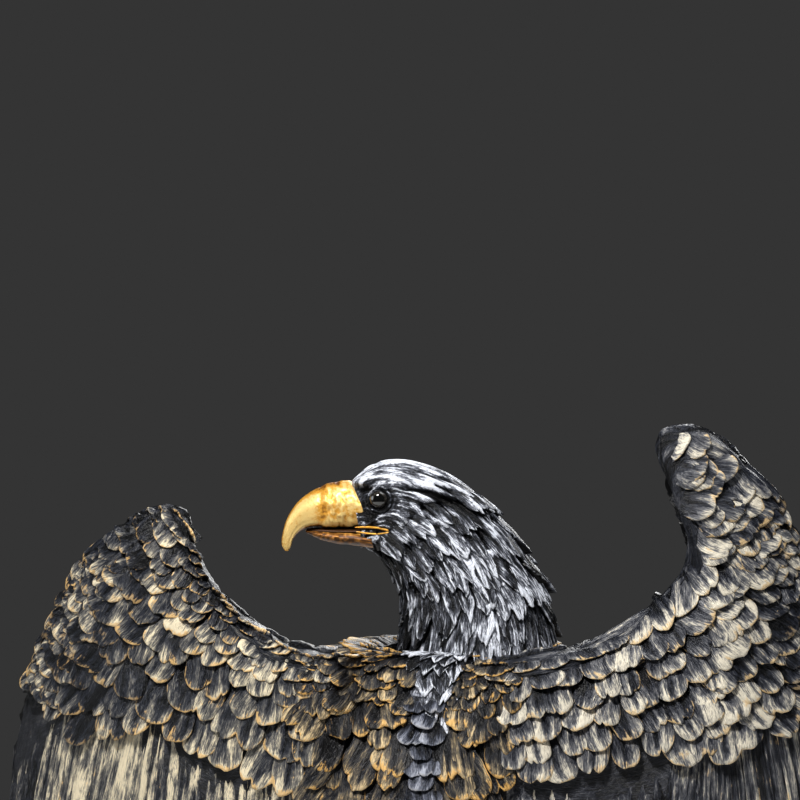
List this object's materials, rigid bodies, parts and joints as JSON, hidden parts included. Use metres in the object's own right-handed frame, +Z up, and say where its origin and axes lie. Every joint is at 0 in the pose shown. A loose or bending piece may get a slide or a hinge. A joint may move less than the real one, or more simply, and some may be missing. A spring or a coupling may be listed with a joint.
{
  "type": "eagle statuette",
  "caption": "Cast bronze eagle with raised wings and turned head, gilt beak, perched on a rock over a round black stone plinth.",
  "frame": {"origin": "centre of the underside of the rubber pad, on the table", "axes": "+Z up, -Y the way the bird's breast faces, +X the bird's own left, the side its head turns to"},
  "size_m": [0.335, 0.156, 0.3299],
  "materials": {
    "pad_rubber": "matt",
    "plinth_stone": "polished",
    "steel": "plain",
    "rock_bronze": "dark patina, rubbed edges",
    "feather_bronze": "dark patina with gold rubbed feather tips",
    "head_bronze": "black patina with silver rubbed feathers",
    "foot_bronze": "gilt, dark talons",
    "gilt": "gilt",
    "eye_glass": "glossy, dark",
    "pin_brass": "turned"
  },
  "bodies": {
    "root": {"base_pad": "pad_rubber", "plinth": "plinth_stone", "plinth_screws": "steel", "plinth_washers": "steel", "rock": "rock_bronze", "foot_studs": "steel", "foot_washers": "steel", "foot_nuts": "steel", "left_foot": "foot_bronze", "right_foot": "foot_bronze", "body": "feather_bronze", "tail": "feather_bronze", "tail_dowels": "pin_brass", "head": "head_bronze", "neck_dowel": "pin_brass", "beak_upper": "gilt", "beak_lower": "gilt", "left_eye": "eye_glass", "right_eye": "eye_glass", "left_wing": "feather_bronze", "right_wing": "feather_bronze", "left_wing_dowels": "pin_brass", "right_wing_dowels": "pin_brass"}
  },
  "joints": []
}
